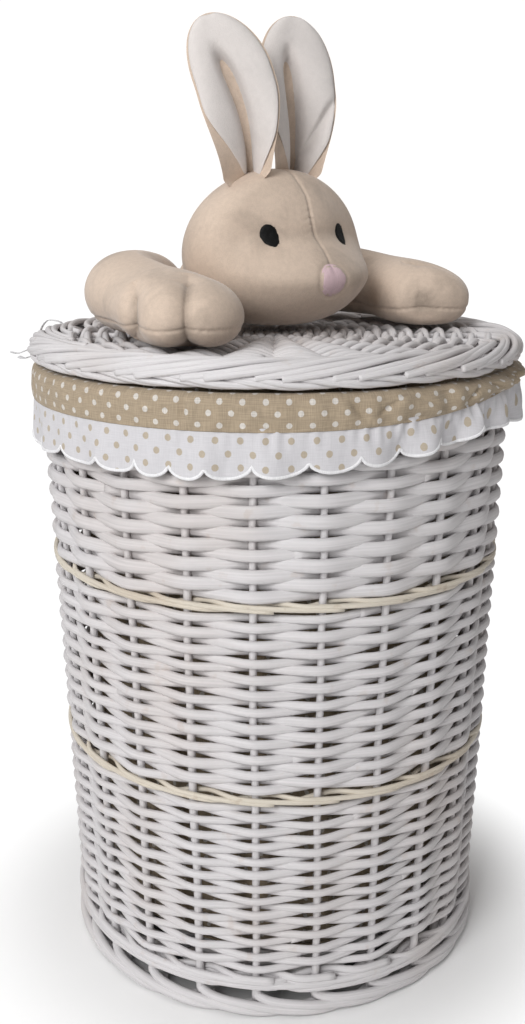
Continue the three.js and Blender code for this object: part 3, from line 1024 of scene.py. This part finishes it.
def rest_on_lid(points):
    """Flatten what would sink into the lid: heights below its top bend to level within 6 mm of it."""
    top = span("lid_border")[1] - 0.6 * MM
    soft = 3 * MM
    above = points[:, 2] - top
    points[:, 2] = top + soft * np.logaddexp(0, above / soft)
    return points


def head_points(p, grow):
    """The head at unit vectors p: a wide ball whose face narrows and slopes back above the muzzle."""
    front = np.maximum(0, -p[:, 1])
    slope = 0.36 * step(p[:, 2], -0.35, 0.3)
    radii = HEAD_RADII + grow
    x = radii[0] * p[:, 0] * (1 - slope * front**2)
    y = radii[1] * p[:, 1] * np.where(p[:, 1] < 0, 1 - slope * step(front, 0, 0.6), 0.88)
    z = radii[2] * (p[:, 2] - 0.06 * (1 - p[:, 2] ** 2))
    return np.stack([x, y, z], axis=-1) + HEAD_CENTRE


def plush_ball(name, shape, node_name, pinned, cap, depth):
    """A stuffed piece: shape maps unit vectors to places, then it is filled, smoothed and sewn."""
    p, faces = ball(5)
    piece = add_mesh(name, rest_on_lid(shape(p)), faces.tolist(), None, plush_beige())
    fill_with_stuffing(piece, pinned(places(piece)), cap)
    move_to(piece, rest_on_lid(places(piece)))
    smoother(piece)
    sew_in(piece, depth(places(piece)))
    return stand_in(piece, node_name, "lid")


EYES = np.array([[-37.0, -36.0, 606.0], [37.0, -38.0, 606.0]]) * MM
NOSE = np.array([0.5, -71.0, 572.0]) * MM


def head_seam(points):
    """Distance from the seam that runs down the middle of the brow to the nose, far away elsewhere."""
    x, y, z = points.T
    on_brow = (y < 22 * MM) & (z > NOSE[2] + 6 * MM)
    return np.where(on_brow, np.abs(x - 2 * MM - 1.2 * MM * np.sin(z * 160)), 1.0)


def head_depth(points):
    """How deep the head is drawn in: the brow seam with puckers across it, the eyes, and the nose's rim."""
    x, y, z = points.T
    seam = head_seam(points)
    line = 1.3 * MM * bump(seam, 0, 1.5 * MM)
    pucker = 0.55 * MM * bump(seam, 0, 8 * MM) * np.maximum(0, np.sin(z * 1250 + np.abs(x) * 420))
    pucker *= bump(z, 0.618, 0.013)
    depth = line + pucker
    for eye in EYES:
        depth += 1.5 * MM * bump(np.linalg.norm(points - eye, axis=-1), 0, 12 * MM)
    depth += 1.6 * MM * bump(x, 0.002, 0.03) * bump(z, 0.606, 7 * MM) * (y < 0)
    around_nose = np.linalg.norm(points - NOSE, axis=-1)
    return depth + 0.9 * MM * bump(around_nose, 14.5 * MM, 2 * MM)


def face_patch(name, node_name, centre, half_x, half_z, height, head, material):
    """An embroidered oval that follows the head's front: y at each point is the mean of the vertices near it."""
    u, v = np.meshgrid(np.linspace(-1, 1, 30), np.linspace(-1, 1, 30))
    across, upward = u * np.sqrt(1 - v * v / 2), v * np.sqrt(1 - u * u / 2)
    x, z = centre[0] + half_x * across, centre[2] + half_z * upward
    near = places(head)
    near = near[(np.linalg.norm(near - centre, axis=-1) < 32 * MM) & (near[:, 1] < 0)]
    squared = (x[..., None] - near[:, 0]) ** 2 + (z[..., None] - near[:, 2]) ** 2
    weight = np.exp(-squared / (2 * (1.3 * MM) ** 2))
    y = (weight * near[:, 1]).sum(axis=-1) / weight.sum(axis=-1)
    points = np.stack([x, y, z], axis=-1)
    outward = unit(np.cross(np.gradient(points, axis=1), np.gradient(points, axis=0)))
    crown = height * (1 - (across**2 + upward**2) ** 2) - 0.2 * MM
    points = points + outward * crown[..., None]
    piece = shell(name, points, 1.2 * MM, np.stack([x, z], axis=-1), material)
    return stand_in(piece, node_name, "lid")


class StuffHead(bpy.types.Operator):
    """Stuff and sew the rabbit's head, eyes, nose and body."""

    bl_idname = "basket.stuff_head"
    bl_label = "Stuff Head"

    def execute(self, context):
        head = plush_ball("rabbit_head_plush", lambda p: head_points(p, -1.5 * MM), "rabbit_head",
                          lambda at: head_seam(at) < 3 * MM, 3 * MM, head_depth)
        low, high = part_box("rabbit_torso")
        middle, half = (np.array(low) + np.array(high)) / 2, (np.array(high) - np.array(low)) / 2
        middle[1], half[1] = high[1] - 28 * MM, 28 * MM
        plush_ball("rabbit_torso_plush", lambda p: p * (half - 1 * MM) + middle, "rabbit_torso",
                   lambda at: np.abs(at[:, 0]) < 2 * MM, 3 * MM,
                   lambda at: 1.3 * MM * bump(at[:, 0], 0, 1.7 * MM))
        thread = satin("embroidery black", (0.006, 0.006, 0.006), 1800.0, 0.12)
        pink = satin("embroidery pink", (0.78, 0.58, 0.62), 1500.0, 0.15)
        for side, eye in zip(("right", "left"), EYES):
            face_patch(f"eye_{side}_stitched", f"eye_{side}", eye, 7.2 * MM, 8.8 * MM, 1.2 * MM, head, thread)
        face_patch("nose_stitched", "nose", NOSE, 13.5 * MM, 12.5 * MM, 1.0 * MM, head, pink)
        return {"FINISHED"}


# for each arm: side, how far the paw lies outwards, where its two toe seams cross, and where its front begins
ARMS = {
    "right": (-1, 13 * MM, (-105 * MM, -66 * MM), 120 * MM),
    "left": (1, 0.0, (-62 * MM, -21 * MM), 98 * MM),
}


def arm_points(p, arm):
    """A stuffed arm at unit vectors p: it leaves the shoulder, comes round beside the head and ends in a paw."""
    sign, splay = arm[:2]
    # place, half width, half height
    stations = np.array([(44, 78, 560, 22, 26), (84, 78, 563, 32, 31), (119, 50, 562, 35, 32),
                         (128, 8, 558, 37, 30), (123, -38, 553, 42, 28), (119, -86, 550, 38, 25)]) * MM
    stations[-2:, 0] += splay * np.array([0.75, 1.0])
    run = smooth_run(stations, 400)
    t = (1 - p[:, 2]) / 2
    at = np.stack([np.interp(t, np.linspace(0, 1, 400), run[:, k]) for k in range(5)], axis=-1)
    length = np.linalg.norm(np.diff(run[:, :3], axis=0), axis=-1).sum()
    end = np.minimum(np.minimum(t, 1 - t) * length / at[:, 4], 1)
    fill = np.sqrt(1 - (1 - end) ** 2)
    ahead = unit(np.gradient(run[:, :3], axis=0))
    ahead = np.stack([np.interp(t, np.linspace(0, 1, 400), ahead[:, k]) for k in range(3)], axis=-1)
    across = unit(np.stack([ahead[:, 1], -ahead[:, 0], 0 * t], axis=-1))
    section = unit(p[:, :2]) * np.array([sign, 1])
    inset = 2 * MM
    points = at[:, :3] + across * (section[:, 0] * fill * (at[:, 3] - inset))[:, None]
    points[:, 2] += section[:, 1] * fill * (at[:, 4] - inset)
    points[:, 0] = points[:, 0] * sign + 5 * MM
    return points


def toe_seams(points, arm):
    """Distance from the seams between the toes: upright planes across the front that stop on the paw's top."""
    sign, _, seams, front = arm
    from_middle = points[:, :2] - np.array([5 * MM, 0])
    aside = from_middle @ np.array([-sign * 0.755, -0.656])
    along = from_middle @ np.array([sign * 0.656, -0.755]) - front
    nearest = np.minimum(*(np.abs(aside - seam) for seam in seams))
    return nearest + 0.6 * np.maximum(0, 16 * MM - along) + (along < 0)


def arm_depth(points, arm):
    """Toe seams, and the flat seam that joins the arm's top to its sole."""
    toes = toe_seams(points, arm)
    depth = 1.7 * MM * bump(toes, 0, 1.8 * MM) + 5.0 * MM * bump(toes, 0, 9 * MM)
    depth -= 3.0 * MM * (1 - step(points[:, 1], -40 * MM, 5 * MM))
    sole = np.abs(points[:, 2] - 0.5445)
    stitch = 0.25 * np.sin(TAU * (points[:, 1] + points[:, 0]) / (4 * MM))
    return depth + MM * (0.9 + stitch) * bump(sole, 0, 1.3 * MM)


class StuffArms(bpy.types.Operator):
    """Stuff the rabbit's arms and sew their toes."""

    bl_idname = "basket.stuff_arms"
    bl_label = "Stuff Arms"

    def execute(self, context):
        for side, arm in ARMS.items():
            plush_ball(f"arm_{side}_plush", lambda p, arm=arm: arm_points(p, arm), f"arm_{side}",
                       lambda at, arm=arm: toe_seams(at, arm) < 3 * MM, 4.5 * MM,
                       lambda at, arm=arm: arm_depth(at, arm))
        return {"FINISHED"}


def ear_fold(t, fold):
    """Where across an ear its deep fold lies: at fold by the base, further to the left towards the tip."""
    return fold - 0.55 * t


def ear_points(t, u, front, grow, ear):
    """A place on an ear: t runs from base to tip and u across it, both on a folded leaf shape.

    front is 1 on the lined face, -1 on the back and between them at the edge. The sides roll forwards by
    cup u^2 near the base, and the front has a deep fold at u = fold that fades before the tip.
    """
    base, tip, yaw, half, sway, fold, second = ear
    base, tip = np.array(base) * MM, np.array(tip) * MM
    reach = tip - base
    upward = unit(reach)
    across = np.array([math.cos(math.radians(-yaw)), math.sin(math.radians(-yaw)), 0])
    across = unit(across - (across @ upward) * upward)
    back = np.cross(upward, across)
    from_base, from_tip = np.clip(t / 0.08, 0, 1), np.clip((1 - t) / 0.35, 0, 1)
    rounded = np.sqrt(1 - (1 - from_base) ** 2) * np.sqrt(1 - (1 - from_tip) ** 2)
    leaf = (0.60 + 0.40 * step(t, 0.0, 0.55)) * rounded
    cup = (20 * (1 - step(t, 0.1, 0.85)) + 2.5) * MM
    plump = np.sqrt(np.clip(1 - np.abs(u) ** 3, 0, 1)) * np.sqrt(rounded)
    thick = (7.5 + 3 * (1 - t)) * MM * plump + grow
    along = ear_fold(t, fold)
    crease = 18 * MM * bump(u, along, 0.15) * (1 - step(t, 0.62, 0.86))
    crease += 6.5 * MM * bump(u, along, 0.36) * (1 - step(t, 0.55, 0.95))
    low_part = step(t, 0.08, 0.2) * (1 - step(t, 0.42, 0.55))
    crease += second * MM * bump(u, 0.25 + 1.7 * (t - 0.12), 0.13) * low_part
    crease = np.minimum(crease, np.maximum(2 * thick - 4 * MM, 0))
    y = -thick * front - cup * u**2 + crease * np.maximum(front, 0) - 8 * MM * np.sin(math.pi * t)
    x = half * MM * leaf * u + sway * MM * np.sin(math.pi * t)
    return base + t[..., None] * reach + x[..., None] * across + y[..., None] * back


EARS = {
    "right": ((-24, 9, 645), (-55, 15, 769), 35, 31, 9, 0.26, 0.0),
    "left": ((22, 10, 645), (28, 12, 774), 20, 32, 1, 0.22, 6.0),
}


class SewEars(bpy.types.Operator):
    """Sew the folded ears, line them and set their bases into the head."""

    bl_idname = "basket.sew_ears"
    bl_label = "Sew Ears"

    def execute(self, context):
        p, faces = ball(7)
        for side, ear in EARS.items():
            t = (1 + p[:, 2]) / 2
            flat = np.maximum(np.hypot(p[:, 0], p[:, 1]), 1e-6)
            points = ear_points(t, p[:, 0] / flat, -p[:, 1] / flat, 0.0, ear)
            body = add_mesh(f"ear_{side}_plush", points, faces.tolist(), None, plush_beige())
            rows, columns = np.meshgrid(np.linspace(0, 1, 90), np.linspace(-1, 1, 70), indexing="ij")
            t = 0.03 + 0.962 * rows
            left_edge = -0.95 + (ear[5] + 0.72) * (1 - step(t, -0.1, 0.5))
            right_edge = 0.95 - (0.85 - ear[5]) * 0.75 * (1 - step(t, -0.05, 0.3))
            u = left_edge + (right_edge - left_edge) * (columns + 1) / 2
            lip = (1 - np.abs(columns) ** 6) * (1 - (1 - rows) ** 16)
            lining_at = ear_points(t, u, 1.0, (2.0 * lip - 0.8) * MM, ear)
            uv = np.stack([columns, rows], axis=-1) * 0.05
            lining = shell(f"ear_lining_{side}_plush", lining_at, 1.2 * MM, uv, plush_cream())
            # painted shade along the lining's deep fold, written into the seam attribute
            fold = 0.9 * bump(u, ear_fold(t, ear[5]), 0.12) * (1 - step(t, 0.6, 0.84))
            mark_painted_crease_shade(lining, np.tile(fold.reshape(-1), 2))
            stand_in(body, f"ear_{side}")
            stand_in(lining, f"ear_lining_{side}")
            for piece in (body, lining):
                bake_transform(piece)
        return {"FINISHED"}


class SetStakes(bpy.types.Operator):
    """Stand the stakes, each a slightly wandering round rod."""

    bl_idname = "basket.set_stakes"
    bl_label = "Set Stakes"

    def execute(self, context):
        sizes = context.scene.basket_sizes
        rng = np.random.default_rng(5)
        z = np.linspace(STAKE_LOW + 9 * MM, STAKE_HIGH, 60)
        for i in range(STAKES):
            lean = wander(z, rng, 1.0 * MM, 0.05)
            path = polar(stake_radius(z), stake_angle(i) + lean / 0.18, z)[None]
            radii = (sizes.stake_radius * np.linspace(1.05, 0.92, len(z)) * rng.uniform(0.95, 1.05))[None]
            node_name = f"stake_{i + 1:02d}"
            piece = swept(f"willow_{node_name}", path, radii, radial(path), willow_white())
            stand_in(piece, node_name, "basket")
        return {"FINISHED"}


# ---------------------------------------------------------------- stage


class SetStage(bpy.types.Operator):
    """Lay a floor that fades to white round a dark patch of painted shadow under the foot, hang the lights and
    aim the camera.
    """

    bl_idname = "basket.set_stage"
    bl_label = "Set Stage"

    def execute(self, context):
        scene = context.scene
        floor_at = np.array([[-1, -1], [1, -1], [1, 1], [-1, 1]]) * 40.0
        corners = np.column_stack([floor_at, np.full(4, -0.0005)])
        pale = bpy.data.materials.new("floor")
        pale.use_nodes = True
        tree = pale.node_tree
        shader = tree.nodes["Principled BSDF"]
        shader.inputs["Roughness"].default_value = 0.9
        away = distance_of(tree, coordinates(tree, "Object"))
        # base colour: a painted shadow, dark grey within 0.12 m of the centre and pale beyond 0.19 m
        painted_floor_shadow = blend_colours(tree, ramp(tree, away, 0.12, 0.19), rgba([0.12] * 3), rgba([0.93] * 3))
        tree.links.new(painted_floor_shadow, shader.inputs["Base Color"])
        seen = node(tree, "LightPath").outputs["Is Camera Ray"]
        glow = node(tree, "Emission", {"Strength": 1.06}).outputs[0]
        share = sums(tree, "MULTIPLY", seen, ramp(tree, away, 0.17, 0.32))
        blank = node(tree, "MixShader", {"Fac": share, 1: shader.outputs[0], 2: glow}).outputs[0]
        tree.links.new(blank, tree.nodes["Material Output"].inputs["Surface"])
        add_mesh("floor", corners, [[0, 1, 2, 3]], None, pale)
        world = bpy.data.worlds.new("studio")
        scene.world = world
        world.use_nodes = True
        sky = world.node_tree.nodes["Background"]
        sky.inputs["Color"].default_value = (1.0, 0.975, 0.955, 1)
        seen = node(world.node_tree, "LightPath").outputs["Is Camera Ray"]
        strength = sums(world.node_tree, "MULTIPLY_ADD", seen, 0.80, 0.26)
        world.node_tree.links.new(strength, sky.inputs["Strength"])
        for name, place, size, power in (
            ("key", (-2.5, -0.9, 2.0), 1.4, 65),
            ("fill", (0.8, -2.6, 1.2), 2.2, 4),
            ("top", (-0.3, 0.8, 2.8), 2.0, 18),
        ):
            data = bpy.data.lights.new(name, "AREA")
            data.size = size
            data.energy = power
            lamp = bpy.data.objects.new(name, data)
            lamp.location = place
            aim_at(lamp, (0, 0, 0.35))
            scene.collection.objects.link(lamp)
        scene.view_settings.view_transform = "Standard"
        set_camera(scene)
        return {"FINISHED"}


def aim_at(thing, target):
    """Turn an object so that its -Z looks at a point."""
    thing.rotation_euler = (Vector(target) - Vector(thing.location)).to_track_quat("-Z", "Y").to_euler()


def set_camera(scene):
    """The camera stands front left, a little above the lid, and looks down by its pitch."""
    azimuth, pitch = math.radians(-41), math.radians(-15.1)
    data = bpy.data.cameras.new("camera")
    data.lens = 40.4
    data.sensor_width = 36
    data.shift_x = -0.0124
    camera = bpy.data.objects.new("camera", data)
    camera.location = (-0.632, -0.727, 0.631)
    camera.rotation_euler = (math.pi / 2 + pitch, 0, azimuth)
    scene.collection.objects.link(camera)
    scene.camera = camera


# ---------------------------------------------------------------- panel and registration

OPERATORS = (SetStage, SetStakes, WeaveWall, WorkWales, LayFootBorder, WeaveBase, WeaveLid,
             SewLiner, SewRuffle, TieRibbons, StuffHead, StuffArms, SewEars)


class BasketPanel(bpy.types.Panel):
    """Lists the basket's settings and the steps that make it."""

    bl_idname = "VIEW3D_PT_willow_basket"
    bl_label = "Willow Basket"
    bl_space_type = "VIEW_3D"
    bl_region_type = "UI"
    bl_category = "Basket"

    def draw(self, context):
        for settings in (context.scene.basket_sizes, context.scene.basket_colours):
            for name in settings.bl_rna.properties.keys():
                if name not in {"rna_type", "name"}:
                    self.layout.prop(settings, name)
        for operator in OPERATORS:
            self.layout.operator(operator.bl_idname)


CLASSES = (BasketSizes, BasketColours, *OPERATORS, BasketPanel)


def register():
    for cls in CLASSES:
        bpy.utils.register_class(cls)
    bpy.types.Scene.basket_sizes = PointerProperty(type=BasketSizes)
    bpy.types.Scene.basket_colours = PointerProperty(type=BasketColours)


def unregister():
    del bpy.types.Scene.basket_colours
    del bpy.types.Scene.basket_sizes
    for cls in reversed(CLASSES):
        bpy.utils.unregister_class(cls)


def main():
    """Make every piece in order."""
    register()
    for operator in OPERATORS:
        group, step = operator.bl_idname.split(".")
        getattr(getattr(bpy.ops, group), step)()


if __name__ == "__main__":
    main()
